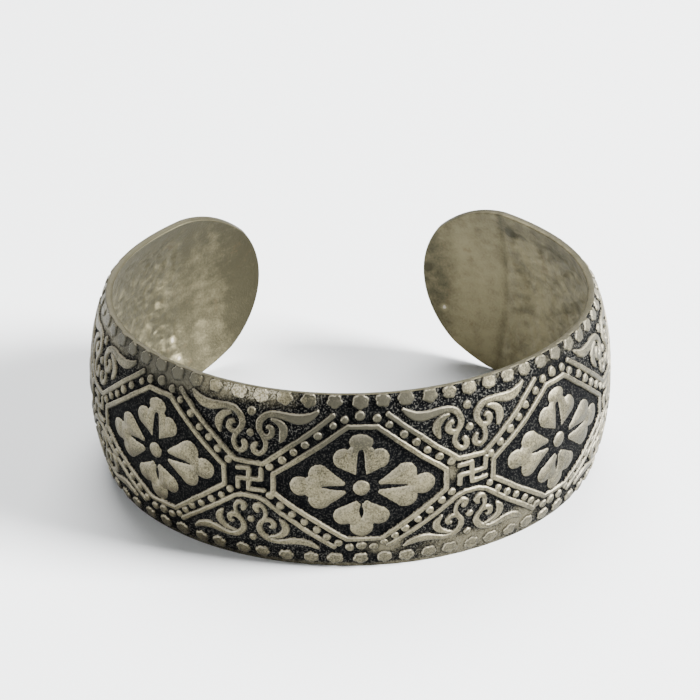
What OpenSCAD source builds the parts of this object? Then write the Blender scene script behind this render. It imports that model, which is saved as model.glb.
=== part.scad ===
// Engraved cuff bracelet: one domed metal strip bent into an open oval.
// Its outer face carries raised ornament: five flowers in beaded frames,
// a fret cross and four scrolls between the frames, and two rows of dots.
// Millimetres, Z up, standing on its lower edge, opening towards +Y.

/* [Band] */
// Height of the strip from edge to edge
band_h = 22.4; // [22:0.1:25]
// Thickness of the wall between the ornaments
wall = 0.85; // [0.7:0.05:1.4]
// How far the wall bulges out between its two edges
bulge = 2; // [1.6:0.1:2.4]
// Width of the flat filed on the upper and lower edge
land = 0.3; // [0.2:0.05:0.4]

/* [Plan] */
// Radius of the front bend
front_r = 32; // [31:1:34]
// Radius of the two side bends
side_r = 26; // [25:1:28]
// Radius of the two arms that end at the opening
arm_r = 33; // [31:1:35]
// Angle that each arm turns up to its tip
arm_turn = 36.7; // [35:0.1:38]
// Length of the rounded end of each arm
end_len = 14.2; // [13.5:0.1:15]
// Radius of the tip
tip_r = 10.3; // [10.1:0.1:10.6]

/* [Ornament] */
// Height of the ornament over the wall
relief = 0.4; // [0.3:0.05:0.5]
// Distance from flower to flower
pitch = 25.8; // [25.6:0.1:26]
// Height of the flower line over the middle of the band
art_up = 0.35; // [0:0.05:0.5]
// Width of the frame lines
line_w = 0.58; // [0.45:0.01:0.7]
// Width of the fret cross lines
fret_w = 0.55; // [0.4:0.05:0.6]
// Radius of the button in a flower
button_r = 0.95; // [0.8:0.05:1.1]
// Width of the slit in a petal
slit_w = 0.5; // [0.3:0.02:0.6]
// Radius of the dots along the edges
dot_r = 0.86; // [0.7:0.02:0.88]

/* [Hidden] */
$fn = 64;
fine = 256;
// Overlap of two halves of a drawing
seam = 0.01;
rad = 180 / PI;
middle = band_h / 2;
far = 80;
// Radius of the wall's section, its angle up to the edge and up to the cut
// that leaves the flat land
dome_r = (middle * middle + bulge * bulge) / (2 * bulge);
edge_a = asin(middle / dome_r);
cut_a = edge_a + land * sin(edge_a) / dome_r * rad;
// Outward directions where the bends join; their digits end, so that
// neighbouring bends share exactly one face
joint_1 = [0.8, -0.6];
joint_2 = [0.8432, 0.5376];
past_tip = [0.28, 0.96];
turn_1 = asin(joint_1[0]);
turn_2 = 180 - asin(joint_2[0]);
// Centres of the bends of the right half
front_c = [0, front_r];
side_c = front_c + (front_r - side_r) * joint_1;
arm_c = side_c + (side_r - arm_r) * joint_2;
front_len = front_r * turn_1 / rad;
side_len = side_r * (turn_2 - turn_1) / rad;
half_len = front_len + side_len + arm_r * arm_turn / rad;
tip_y = arm_c[1] - arm_r * cos(turn_2 + arm_turn);
shift_y = (relief - tip_y) / 2;
// Where the outline of the rounded end is square to the wall
tip_in = 4;
// The long sides of an end start this far outside the edge and run into a
// circle of this radius
end_over = 0.15;
shoulder_r = 9.9;
// The tip's circle shapes an end from here on
tip_from = 8.6;
// Steps from the front to the outermost flower, gap and dot
last_flower = 2;
last_gap = 2.5;
last_dot = 24;
dots_per_pitch = 9;
// Height of the dot rows' middle over the middle of the band, and the rows'
// distance from it
dot_up = 0.3;
dot_v = middle - 1.08;
// Place and half length of the bar that closes the ornament
close_s = 70;
close_v = 9;
// Depth of studs, lines and plates in the wall, and how much lower a flat
// plate's top lies at its middle
bury = 0.3;
plate_bury = 0.6;
plate_drop = 0.12;
// Reach of the tools that cut the ends and the lines
through = 6;
press_in = 4;
press_out = 0.8;

// Petals: root, side lobe out, side lobe across, side lobe radius,
// end lobe out, end lobe radius, end of the slit
side_petal = [1.95, 4.75, 1.45, 1.3, 7.1, 1.35, 5];
upright_petal = [1.75, 3.9, 1.8, 1.15, 5.2, 1.3, 4.3];
root_half = 0.62;
root_r = 0.36;
// Turn of a petal's straight edge beyond the line of its lobes
petal_swell = 8;
// Half width of the slit at its root and at its end, as a share of slit_w
slit_root = 0.6;
slit_end = 0.35;
// Reach of a petal's flesh into its lobes, as a share of their radius
flesh = 0.6;

// Beads round a frame, first quarter: across, up, radius
beads = [
  [0, 8.5, 0.62],
  [1.85, 8.25, 0.52],
  [3.2, 7.4, 0.5],
  [4.7, 6.3, 0.5],
  [6.15, 5.15, 0.5],
  [7.6, 4.05, 0.5],
  [9.05, 2.97, 0.5],
  [10.45, 1.9, 0.48],
];

// Corners of the frame line, first quarter: across, up
frame = [[10.05, 1.19], [1.8, 7.3]];

// Line outside the beads, from the middle of the gap: across, up
rim_line = [[1.65, 2.3], [9.7, 8.7]];
// Its end where the ornament closes
rim_close = [5.4, 5.28];

// Fret cross: half its size
fret = 1.5;

// Beads on the middle of a gap: up, radius
gap_beads = [[5.6, 0.46], [8.25, 0.5]];

// Leaf of a scroll, from the middle of the gap: across, up
leaf_at = [5.2, 8.1];
leaf = [
  [2.2, 8.5], [3.9, 8.5], [5, 8.35], [5.9, 8.45], [6.9, 8.85], [7.75, 9.25],
  [7.2, 8.2], [6.3, 7.35], [5.4, 7.08], [4.6, 7.2], [4, 7.55], [3.1, 8],
];

// Circles of a scroll, from the middle of the gap: across, up, radius
scroll_at = [2.3, 6.2];
ring = [2.2, 6.85, 1.75];
crescent = [2.85, 6.65, 1.68];
groove = [2.35, 6.5, 0.87];
groove_w = 0.42;
hook = [1.15, 4.2, 0.66];
hook_w = 0.6;
head = [0.72, 4.25, 0.5];
// Where the groove is left whole, and its outlet
groove_end = [[2.35, 6.5], [-0.65, 6.2], [-0.65, 3.5], [2.85, 3.5]];
outlet = [[3.01, 6.5], [3.43, 6.5], [3.3, 4.8], [2.9, 4.8]];
// Stem from the ring to the hook, and the hook's opening
stem = [[1.5, 4.2], [2.1, 4.2], [2.3, 5.6], [1.3, 5.6]];
hook_gap = [[0, 4.3], [1.48, 4.3], [1.48, 5.2], [0, 5.2]];

// Turn of the strip at the distance s from the front
function turn_at(s) =
  s < front_len ? s / front_r * rad
  : s < front_len + side_len ? turn_1 + (s - front_len) / side_r * rad
  : turn_2 + (s - front_len - side_len) / arm_r * rad;

function radius_at(s) =
  s < front_len ? front_r : s < front_len + side_len ? side_r : arm_r;

function centre_at(s) =
  s < front_len ? front_c : s < front_len + side_len ? side_c : arm_c;

function mirrored(p) = [-p[0], p[1]];
function backwards(path) = [for (i = [len(path) - 1 : -1 : 0]) path[i]];

// A distance along a curve of radius r, seen flat from its middle
function flat(d, r) = r * sin(d / r * rad);

// A path of the ornament as it is seen from outside the wall
function seen(path) =
  [for (p = path) [flat(p[0], front_r), flat(p[1], dome_r)]];

function unit(v) = v / norm(v);
function left_of(v) = [-v[1], v[0]];

// Corner i of a path, moved to its left by d, square to both of its sides
function mitre(path, i, d, closed) =
  let (
    n = len(path),
    ahead = closed || i < n - 1 ? unit(path[(i + 1) % n] - path[i]) : undef,
    behind = closed || i > 0 ? unit(path[i] - path[(i + n - 1) % n]) : ahead,
    onward = is_undef(ahead) ? behind : ahead,
    side = unit(left_of(behind) + left_of(onward))
  )
  path[i] + side * d / (side * left_of(behind));

function beside(path, d, closed = false) =
  [for (i = [0 : len(path) - 1]) mitre(path, i, d, closed)];

// A line of even width along an open path
module ribbon(path, w) {
  polygon(concat(beside(path, w / 2), backwards(beside(path, -w / 2))));
}

// A line of even width round a closed path
module loop(path, w) {
  difference() {
    polygon(beside(path, -w / 2, true));
    polygon(beside(path, w / 2, true));
  }
}

module disc(c) {
  translate([c[0], c[1]])
    circle(c[2]);
}

// One petal pointing to +X
module petal(p) {
  lean = atan2(p[2] - root_half, p[1] - p[0]) + petal_swell;
  edge = [-sin(lean), cos(lean)];
  difference() {
    union() {
      for (side = [-1, 1]) {
        scale([1, side])
          polygon([
            [p[0], -seam], [p[0], root_half],
            [p[0], root_half] + root_r * edge, [p[1], p[2]] + p[3] * edge,
            [p[1] + p[3] * flesh, p[2]], [p[4], p[5] * flesh], [p[4], -seam]]);
        disc([p[0], side * root_half, root_r]);
        disc([p[1], side * p[2], p[3]]);
      }
      disc([p[4], 0, p[5]]);
    }
    polygon([
      [0, slit_w * slit_root], [0, -slit_w * slit_root],
      [p[6], -slit_w * slit_end], [p[6], slit_w * slit_end]]);
    disc([p[6], 0, slit_w * slit_end]);
  }
}

// The ring, crescent and hook of one scroll
module curls() {
  difference() {
    union() {
      disc(ring);
      disc(crescent);
    }
    difference() {
      disc(groove + [0, 0, groove_w / 2]);
      disc(groove - [0, 0, groove_w / 2]);
      polygon(groove_end);
    }
    polygon(outlet);
  }
  difference() {
    union() {
      disc(hook + [0, 0, hook_w / 2]);
      polygon(stem);
    }
    disc(hook - [0, 0, hook_w / 2]);
    polygon(hook_gap);
  }
  disc(head);
}

module fret_cross() {
  ribbon([[-fret, fret], [0, fret], [0, -fret], [fret, -fret]], fret_w);
  ribbon([[-fret, -fret], [-fret, 0], [fret, 0], [fret, fret]], fret_w);
}

// Section of the wall between two distances from its outer face
module section(inner, outer, r) {
  intersection() {
    translate([r - dome_r, 0])
      intersection() {
        difference() {
          circle(dome_r + outer, $fn = fine);
          circle(dome_r + inner, $fn = fine);
        }
        polygon([[0, 0], far * [cos(cut_a), -sin(cut_a)], far * [cos(cut_a), sin(cut_a)]]);
      }
    translate([0, -middle])
      square([far, band_h]);
  }
}

// One bend of the strip, between two outward directions in plan
module bend(c, r, from, to, inner, outer) {
  intersection() {
    translate(c)
      rotate([0, 0, c[0] + from[0] > 0 ? 180 : 0])
        rotate_extrude($fn = fine)
          section(inner, outer, r);
    translate([0, 0, -band_h])
      linear_extrude(2 * band_h)
        polygon([c, c + far * from, c + far * (from + to), c + far * to]);
  }
}

// The strip between two distances from its outer face
module strip(inner, outer) {
  bend(front_c, front_r, mirrored(joint_1), joint_1, inner, outer);
  bend(side_c, side_r, joint_1, joint_2, inner, outer);
  bend(mirrored(side_c), side_r, mirrored(joint_2), mirrored(joint_1), inner, outer);
  bend(arm_c, arm_r, joint_2, past_tip, inner, outer);
  bend(mirrored(arm_c), arm_r, mirrored(past_tip), mirrored(joint_2), inner, outer);
}

// Lays its children on the wall at the distance s from the front and v from
// the middle, both along the curve; their Z is outward
module on_wall(s, v) {
  side = s < 0 ? -1 : 1;
  c = centre_at(abs(s));
  translate([side * c[0], c[1], 0])
    rotate([0, 0, side * turn_at(abs(s))])
      translate([0, dome_r - radius_at(abs(s)), 0])
        rotate([-v / dome_r * rad, 0, 0])
          translate([0, -dome_r, 0])
            rotate([90, 0, 0])
              children();
}

// What lies outside the rounded end of an arm
module tip_cut() {
  tip_x = flat(tip_in, arm_r);
  start_x = tip_x - end_len;
  half = middle + end_over;
  side_arc = (pow(end_len - shoulder_r, 2) + half * half - shoulder_r * shoulder_r)
    / (2 * (half - shoulder_r));
  difference() {
    translate([start_x, -band_h])
      square([2 * end_len, 2 * band_h]);
    intersection() {
      disc([start_x, half - side_arc, side_arc]);
      disc([start_x, side_arc - half, side_arc]);
      union() {
        disc([tip_x - tip_r, 0, tip_r]);
        translate([start_x - band_h, -band_h])
          square([band_h + tip_from, 2 * band_h]);
      }
    }
  }
}

// A flat-topped plate with the outline of its children
module plate(s, v) {
  on_wall(s, v)
    translate([0, 0, -plate_bury])
      linear_extrude(plate_bury + relief - plate_drop)
        children();
}

module stud(s, v, r) {
  on_wall(s, v)
    translate([0, 0, -bury])
      cylinder(h = relief + bury, r = r);
}

module flower(s) {
  stud(s, art_up, button_r);
  for (side = [-1, 1]) {
    plate(s + side * side_petal[1], art_up)
      rotate(90 - side * 90)
        translate([-side_petal[1], 0])
          petal(side_petal);
    plate(s, art_up + side * upright_petal[1])
      rotate(side * 90)
        translate([-upright_petal[1], 0])
          petal(upright_petal);
  }
  for (b = beads)
    for (across = b[0] > 0 ? [-b[0], b[0]] : [0])
      for (up = [-1, 1])
        stud(s + across, art_up + up * b[1], b[2]);
}

module scroll(s, side, up, with_leaf) {
  plate(s + side * scroll_at[0], art_up + up * scroll_at[1])
    scale([side, up])
      translate(-scroll_at)
        curls();
  if (with_leaf)
    plate(s + side * leaf_at[0], art_up + up * leaf_at[1])
      scale([side, up])
        translate(-leaf_at)
          polygon(leaf);
}

module gap(s, closing) {
  plate(s, art_up)
    fret_cross();
  for (up = [-1, 1]) {
    for (side = [-1, 1])
      scroll(s, side, up, side != closing);
    for (b = gap_beads)
      stud(s, art_up + up * b[0], b[1]);
  }
}

// A drawing reaching through the wall, as it is seen from outside
module pressed(s) {
  on_wall(s, 0)
    translate([0, flat(art_up, dome_r), -press_in])
      linear_extrude(press_in + press_out)
        children();
}

module frame_line(s) {
  quarter = seen(frame);
  half = concat(quarter, [for (p = backwards(quarter)) mirrored(p)]);
  pressed(s)
    loop(concat(half, -half), line_w);
}

module rim_lines(s, closing) {
  ends = seen([rim_line[0], rim_line[1], rim_close]);
  right = [ends[0], closing > 0 ? ends[2] : ends[1]];
  left = [closing < 0 ? ends[2] : ends[1], ends[0]];
  for (up = [-1, 1])
    pressed(s)
      scale([1, up])
        ribbon(concat([for (p = left) mirrored(p)], right), line_w);
}

// The lines of the ornament, as high as the plates
module lines() {
  intersection() {
    strip(-bury, relief);
    union() {
      for (i = [-last_flower : last_flower])
        frame_line(i * pitch);
      for (i = [-last_gap : last_gap])
        rim_lines(i * pitch, abs(i) == last_gap ? sign(i) : 0);
      for (side = [-1, 1])
        pressed(side * close_s)
          square([line_w, 2 * close_v], center = true);
    }
  }
}

module cuff() {
  color("silver")
    translate([0, shift_y, middle]) {
      difference() {
        strip(-wall, 0);
        for (side = [-1, 1])
          on_wall(side * (half_len - tip_in), 0)
            translate([0, 0, -through])
              linear_extrude(2 * through)
                scale([side, 1])
                  tip_cut();
      }
      lines();
      for (i = [-last_flower : last_flower])
        flower(i * pitch);
      for (i = [-last_gap : last_gap])
        gap(i * pitch, abs(i) == last_gap ? sign(i) : 0);
      for (i = [-last_dot : last_dot])
        for (up = [-1, 1])
          stud(i * pitch / dots_per_pitch, dot_up + up * dot_v, dot_r);
    }
}

cuff();
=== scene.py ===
"""Looks of the engraved cuff bracelet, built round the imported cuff.

The metal is worked out as one surface over two distances: s runs along the
strip from the middle flower, positive to the right, and v runs across it from
its middle, positive upwards. Lengths are in millimetres until a mesh is made.
The ornament is a set of flat drawings, each a signed distance to its outline
that is positive inside, and each distance is turned into a worn, rounded
relief on the outer face. The inner face shows the same relief as soft dents.
"""

import logging
import math
from dataclasses import dataclass
from enum import Enum

import bpy
import numpy as np
from mathutils import Matrix


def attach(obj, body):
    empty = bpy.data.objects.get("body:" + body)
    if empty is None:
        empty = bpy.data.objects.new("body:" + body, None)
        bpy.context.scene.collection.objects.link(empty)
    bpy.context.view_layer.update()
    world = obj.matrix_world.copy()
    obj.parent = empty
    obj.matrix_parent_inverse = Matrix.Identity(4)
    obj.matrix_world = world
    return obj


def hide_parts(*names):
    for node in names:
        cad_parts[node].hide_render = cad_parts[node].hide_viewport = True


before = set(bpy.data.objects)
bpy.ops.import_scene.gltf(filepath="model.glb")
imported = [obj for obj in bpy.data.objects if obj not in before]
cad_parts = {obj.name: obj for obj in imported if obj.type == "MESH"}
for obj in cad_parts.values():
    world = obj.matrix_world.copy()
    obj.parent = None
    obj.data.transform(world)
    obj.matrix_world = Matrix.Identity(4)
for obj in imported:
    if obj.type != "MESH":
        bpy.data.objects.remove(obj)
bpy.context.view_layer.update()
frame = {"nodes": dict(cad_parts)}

MM = 0.001
LOG = logging.getLogger("cuff")
Array = np.ndarray
Point = tuple[float, float]
Row = tuple[float, float, float]
Spot = tuple[float, float, float, float, float]
Wave = tuple[float, float, int]
Colour = tuple[float, float, float, float]
Window = tuple[slice, slice]


# Small formulas


def eased(x: Array, low: float, high: float) -> Array:
    """A smooth step from 0 at low to 1 at high, with level ends."""
    t = np.clip((x - low) / (high - low), 0.0, 1.0)
    return t * t * (3.0 - 2.0 * t)


def rounded(depth: Array, reach: float) -> Array:
    """A quarter of an ellipse: 0 at the outline, 1 from the depth reach on."""
    t = np.clip(depth / reach, 0.0, 1.0)
    return np.sqrt(np.maximum(1.0 - (1.0 - t) ** 2, 0.0))


def waves(a: Array, b: Array, length: float, seed: int, count: int = 9) -> Array:
    """Smooth unevenness: a sum of plane waves in seeded directions.

    Args:
        a: first coordinate, in mm.
        b: second coordinate, in mm.
        length: the middle wavelength, in mm.
        seed: seed of the directions and phases.
        count: number of waves.

    Returns:
        Values of about -1 to 1.
    """
    rng = np.random.default_rng(seed)
    total = np.zeros(np.broadcast(a, b).shape)
    for _ in range(count):
        turn, phase = rng.uniform(0.0, 2.0 * math.pi, 2)
        rate = 2.0 * math.pi / (length * rng.uniform(0.65, 1.6))
        total += np.sin(rate * (a * math.cos(turn) + b * math.sin(turn)) + phase)
    return total / math.sqrt(2.0 * count)


def layered(a: Array, b: Array, *layers: Wave) -> Array:
    """Waves of several lengths, added up. Each layer: amount, length, seed."""
    return sum(amount * waves(a, b, length, seed) for amount, length, seed in layers)


def bell(x: Array, at: float, reach: float) -> Array:
    """e to the power of minus the square of the distance in reaches: 1 in
    the middle and near 0 two reaches away."""
    return np.exp(-(((x - at) / reach) ** 2))


def spots(s: Array, v: Array, rows: tuple[Spot, ...]) -> list[Array]:
    """Soft spots. Each row: s, v, reach along, reach across, strength."""
    return [
        strength * (bell(s, at_s, along) * bell(v, at_v, across))
        for at_s, at_v, along, across, strength in rows
    ]


def softened(field: Array, reach: int) -> Array:
    """A field blurred by three running means of 2 reach + 1 cells each way."""
    for axis in (0, 1):
        for _ in range(3):
            pad = [(0, 0), (0, 0)]
            pad[axis] = (reach + 1, reach)
            total = np.cumsum(np.pad(field, pad, mode="edge"), axis=axis)
            n = field.shape[axis]
            high = np.take(total, np.arange(2 * reach + 1, 2 * reach + 1 + n), axis)
            low = np.take(total, np.arange(n), axis)
            field = (high - low) / (2 * reach + 1)
    return field


# Flat drawings, as signed distances


def disc(x: Array, y: Array, centre: Point, radius: float) -> Array:
    """The radius less the distance from the centre."""
    return radius - np.hypot(x - centre[0], y - centre[1])


def to_side(x: Array, y: Array, start: Point, end: Point) -> tuple[Array, Array]:
    """The nearest place on a straight side, 0 at its start and 1 at its end,
    and the distance to it."""
    dx, dy = end[0] - start[0], end[1] - start[1]
    t = np.clip(((x - start[0]) * dx + (y - start[1]) * dy) / (dx * dx + dy * dy), 0.0, 1.0)
    return t, np.hypot(x - start[0] - t * dx, y - start[1] - t * dy)


def stroke(x: Array, y: Array, path: tuple[Point, ...], width: float, closed: bool = False) -> Array:
    """Half the width less the distance to the nearest side of a path."""
    ends = path[1:] + path[:1] if closed else path[1:]
    return joined(*[width / 2.0 - to_side(x, y, a, b)[1] for a, b in zip(path, ends)])


def quill(x: Array, y: Array, path: tuple[Row, ...], bends: int = 4) -> Array:
    """A curved stroke of changing width: at each side of its path the half
    width less the distance, the greatest over all sides.

    Args:
        x: first coordinate, in mm.
        y: second coordinate, in mm.
        path: across, up and half width of the points that the stroke passes.
        bends: sides of the path between two of its points.

    Returns:
        The signed distance, positive inside.
    """
    rows = np.array([path[0], *path, path[-1]])
    u = np.arange(bends)[:, None] / bends + 1.0 / bends
    curve = [rows[1:2]]
    for a, b, c, d in zip(rows, rows[1:], rows[2:], rows[3:]):
        bend = 2.0 * b + (c - a) * u + (2.0 * a - 5.0 * b + 4.0 * c - d) * u**2
        curve.append((bend + (3.0 * b - a - 3.0 * c + d) * u**3) / 2.0)
    points = np.concatenate(curve)
    depth = -np.inf
    for start, end in zip(points, points[1:]):
        t, off = to_side(x, y, start[:2], end[:2])
        depth = np.maximum(depth, start[2] + (end[2] - start[2]) * t - off)
    return depth


def oval(x: Array, y: Array, centre: Point, half: Point) -> Array:
    """The lesser half width times one less the distance from the centre,
    counted in half widths."""
    away = np.hypot((x - centre[0]) / half[0], (y - centre[1]) / half[1])
    return min(half) * (1.0 - away)


def patch(x: Array, y: Array, corners: tuple[Point, ...]) -> Array:
    """The distance to a polygon's sides, negative where an upward ray meets
    an even number of them."""
    inside = np.zeros(np.broadcast(x, y).shape, bool)
    for (ax, ay), (bx, by) in zip(corners, corners[1:] + corners[:1]):
        if ax == bx:
            continue
        between = (x >= min(ax, bx)) & (x < max(ax, bx))
        inside ^= between & (y < ay + (by - ay) * (x - ax) / (bx - ax))
    away = -stroke(x, y, corners, 0.0, closed=True)
    return np.where(inside, away, -away)


def joined(*parts: Array) -> Array:
    """The union of drawings: the greatest distance."""
    return np.maximum.reduce(parts)


def without(whole: Array, *cuts: Array) -> Array:
    """A drawing with others cut out of it."""
    return np.minimum.reduce([whole, *[-c for c in cuts]])


# The bare strip


@dataclass(frozen=True)
class Band:
    """The bare strip: five tangent bends in plan, an arc in section.

    The sizes are those of the part's source, in mm and degrees.
    """

    height: float = 22.4
    wall: float = 0.85
    bulge: float = 2.0
    land: float = 0.3
    front_r: float = 32.0
    side_r: float = 26.0
    arm_r: float = 33.0
    joint_1: Point = (0.8, -0.6)
    joint_2: Point = (0.8432, 0.5376)
    arm_turn: float = 36.7
    end_len: float = 14.2
    tip_in: float = 4.0
    tip_r: float = 10.3
    end_over: float = 0.15
    shoulder_r: float = 9.9
    tip_from: float = 8.6
    low_side_r: float = 20.0
    low_tip_r: float = 10.8
    relief: float = 0.4

    @property
    def middle(self) -> float:
        """Half the height."""
        return self.height / 2.0

    @property
    def dome_r(self) -> float:
        """Radius of the section's arc, from its half chord and its bulge."""
        return (self.middle**2 + self.bulge**2) / (2.0 * self.bulge)

    @property
    def turns(self) -> Point:
        """Turn of the strip at its two joints, in radians."""
        return math.asin(self.joint_1[0]), math.pi - math.asin(self.joint_2[0])

    @property
    def lengths(self) -> Point:
        """Distance from the front to each of the two joints."""
        first = self.front_r * self.turns[0]
        return first, first + self.side_r * (self.turns[1] - self.turns[0])

    @property
    def half_len(self) -> float:
        """Distance from the front to the tip."""
        return self.lengths[1] + self.arm_r * math.radians(self.arm_turn)

    @property
    def centres(self) -> tuple[Point, Point, Point]:
        """Centres of the front, side and arm bends of the right half."""
        front = (0.0, self.front_r)
        step = self.front_r - self.side_r
        side = (step * self.joint_1[0], self.front_r + step * self.joint_1[1])
        step = self.side_r - self.arm_r
        arm = (side[0] + step * self.joint_2[0], side[1] + step * self.joint_2[1])
        return front, side, arm

    @property
    def shift(self) -> float:
        """Move along Y that centres the cuff on the frame's origin."""
        end = self.turns[1] + math.radians(self.arm_turn)
        return (self.relief - self.centres[2][1] + self.arm_r * math.cos(end)) / 2.0

    def place(self, s: Array, v: Array, w: Array) -> Array:
        """Points of the metal in the frame, in metres.

        A point lies on the section's arc at the angle v / dome_r, w outside
        it, and the section is turned about the bend's centre by its turn.

        Args:
            s: distance along the strip.
            v: distance across it.
            w: height over the outer face, negative into the wall.

        Returns:
            An array with a last axis of 3.
        """
        s, v, w = np.broadcast_arrays(s, v, w)
        ahead = np.abs(s)
        first, second = self.lengths
        kind = (ahead >= first).astype(int) + (ahead >= second)
        centres = np.array(self.centres)[kind]
        radius = np.array([self.front_r, self.side_r, self.arm_r])[kind]
        start = np.array([0.0, first, second])[kind]
        begun = np.array([0.0, *self.turns])[kind]
        turn = begun + (ahead - start) / radius
        out = radius - self.dome_r + (self.dome_r + w) * np.cos(v / self.dome_r)
        x = np.sign(s) * (centres[..., 0] + out * np.sin(turn))
        y = centres[..., 1] - out * np.cos(turn) + self.shift
        z = self.middle + (self.dome_r + w) * np.sin(v / self.dome_r)
        return np.stack([x, y, np.clip(z, 0.0, self.height)], axis=-1) * MM

    @property
    def flat_tip(self) -> float:
        """The arc tip_in long, seen square to its start."""
        return self.arm_r * math.sin(self.tip_in / self.arm_r)

    def flat_along(self, s: Array) -> Array:
        """Distance past the start of the rounded end, seen square to it."""
        around = (np.abs(s) - self.half_len + self.tip_in) / self.arm_r
        return self.arm_r * np.sin(around) - self.flat_tip + self.end_len

    def along(self, x: Array) -> Array:
        """The distance s of a point at flat_along, the reverse of it."""
        around = np.arcsin((x + self.flat_tip - self.end_len) / self.arm_r)
        return self.half_len - self.tip_in + self.arm_r * around

    @property
    def side_arc(self) -> float:
        """Radius of the long sides of a rounded end."""
        half = self.middle + self.end_over
        top = (self.end_len - self.shoulder_r) ** 2 + half**2 - self.shoulder_r**2
        return top / (2.0 * (half - self.shoulder_r))

    @property
    def edge_z(self) -> float:
        """Height over the middle where the wall's section is cut."""
        edge = math.asin(self.middle / self.dome_r)
        return self.dome_r * math.sin(edge + self.land * math.sin(edge) / self.dome_r)

    def edge(self, s: Array) -> Array:
        """Distance v of the strip's cut edge, less where an end narrows."""
        x = np.maximum(self.flat_along(s), 0.0)
        drop = self.side_arc - np.sqrt(self.side_arc**2 - x**2)
        z = np.minimum(self.middle + self.end_over - drop, self.edge_z)
        return self.dome_r * np.arcsin(z / self.dome_r)

    def end_outline(self, start: float, angle: Array) -> tuple[Array, Array]:
        """Outline of a rounded end as rays from a point on its middle line.

        Each ray stops at the first of its side's arc, the strip's own edge
        and, from tip_from on, the tip's arc. The lower side is a little
        rounder than the source's, as in the photograph.

        Args:
            start: flat distance of the rays' origin past the end's start.
            angle: angle of each ray from the strip's direction.

        Returns:
            s and v of the outline.
        """
        dx, dz = np.cos(angle), np.sin(angle)
        half = self.middle + self.end_over
        side = np.where(dz > 0.0, self.side_arc, self.low_side_r)
        tip = np.where(dz > 0.0, self.tip_r, self.low_tip_r)
        arcs = [
            (0.0, np.sign(dz) * (half - side), side, 0.0),
            (self.end_len - tip, 0.0, tip, self.tip_from - start),
        ]
        reach = self.edge_z / np.maximum(np.abs(dz), 1e-6)
        for cx, cz, radius, free in arcs:
            along = dx * (cx - start) + dz * cz
            off = (cx - start) ** 2 + cz**2
            out = along + np.sqrt(along**2 - off + radius**2)
            reach = np.minimum(reach, np.maximum(out, free / np.maximum(dx, 1e-6)))
        x, z = start + reach * dx, reach * dz
        return self.along(x), self.dome_r * np.arcsin(z / self.dome_r)


# The ornament


class Cut(Enum):
    """How a drawing's edge and top are shaped: reach of its rounded edge,
    height of the edge and of the dome over it, reach of that dome, and how
    far the ground's dark colour reaches in over the edge."""

    PETAL = (0.5, 0.17, 0.18, 1.3, 0.07)
    BUTTON = (0.4, 0.23, 0.12, 0.9, 0.05)
    BEAD = (0.18, 0.31, 0.03, 0.4, 0.0)
    DOT = (0.15, 0.31, 0.03, 0.6, 0.0)
    LINE = (0.14, 0.33, 0.0, 1.0, 0.0)
    SCROLL = (0.15, 0.32, 0.02, 0.4, 0.0)


class Relief:
    """The raised ornament over a grid of the outer face.

    Each drawing is added inside a window of the grid, and grows by a little,
    because its edges slope. The field depth keeps the greatest signed
    distance, bright the same less how far the ground's dark colour reaches
    in, and height the greatest height.
    """

    grow: float = 0.04

    def __init__(self, s: Array, v: Array) -> None:
        """Start with a bare ground.

        Args:
            s: distance along the strip of each row.
            v: distance across it of each row and column.
        """
        self.s = s
        self.v = v
        self.depth = np.full(v.shape, -1.0)
        self.bright = np.full(v.shape, -1.0)
        self.height = np.zeros(v.shape)

    def window(self, s: float, v: float, reach: Point) -> Window:
        """The rows and columns within reach of a point."""
        rows = np.searchsorted(self.s, [s - reach[0], s + reach[0]])
        across = self.v[min((rows[0] + rows[1]) // 2, len(self.s) - 1)]
        columns = np.searchsorted(across, [v - reach[1], v + reach[1]])
        return slice(*rows), slice(*columns)

    def add(self, window: Window, depth: Array, cut: Cut) -> None:
        """Raise a drawing: an edge of a quarter ellipse and a dome over it."""
        reach, edge, dome, dome_reach, dark = cut.value
        depth = depth + self.grow
        top = edge * rounded(depth, reach) + dome * eased(depth, 0.0, dome_reach)
        self.depth[window] = np.maximum(self.depth[window], depth)
        self.bright[window] = np.maximum(self.bright[window], depth - dark)
        self.height[window] = np.maximum(self.height[window], top)


@dataclass(frozen=True)
class Petal:
    """Sizes of a petal that points along +x from a flower's centre, in mm.

    A side lobe has its place out and aside and its radius, the end lobe its
    place and its half widths along and across, the slit the rows of a quill.
    """

    root: float
    lobe: Row
    end: Row
    slit: tuple[Row, ...]
    root_half: float = 0.6
    root_r: float = 0.34
    swell: float = 8.0
    flesh: float = 0.6

    def depth(self, x: Array, y: Array) -> Array:
        """Two side lobes and an end lobe on straight flanks, less the slit."""
        out, side, radius = self.lobe
        end, end_along, end_across = self.end
        lean = math.atan2(side - self.root_half, out - self.root) + math.radians(self.swell)
        nx, ny = -math.sin(lean), math.cos(lean)
        slit = quill(x, y, self.slit)
        y = np.abs(y)
        flesh = (
            (self.root, -1.0),
            (self.root, self.root_half),
            (self.root + self.root_r * nx, self.root_half + self.root_r * ny),
            (out + radius * nx, side + radius * ny),
            (out + self.flesh * radius, side),
            (end, self.flesh * end_across),
            (end, -1.0),
        )
        whole = joined(
            patch(x, y, flesh),
            disc(x, y, (self.root, self.root_half), self.root_r),
            disc(x, y, (out, side), radius),
            oval(x, y, (end, 0.0), (end_along, end_across)),
        )
        return without(whole, slit)


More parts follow.
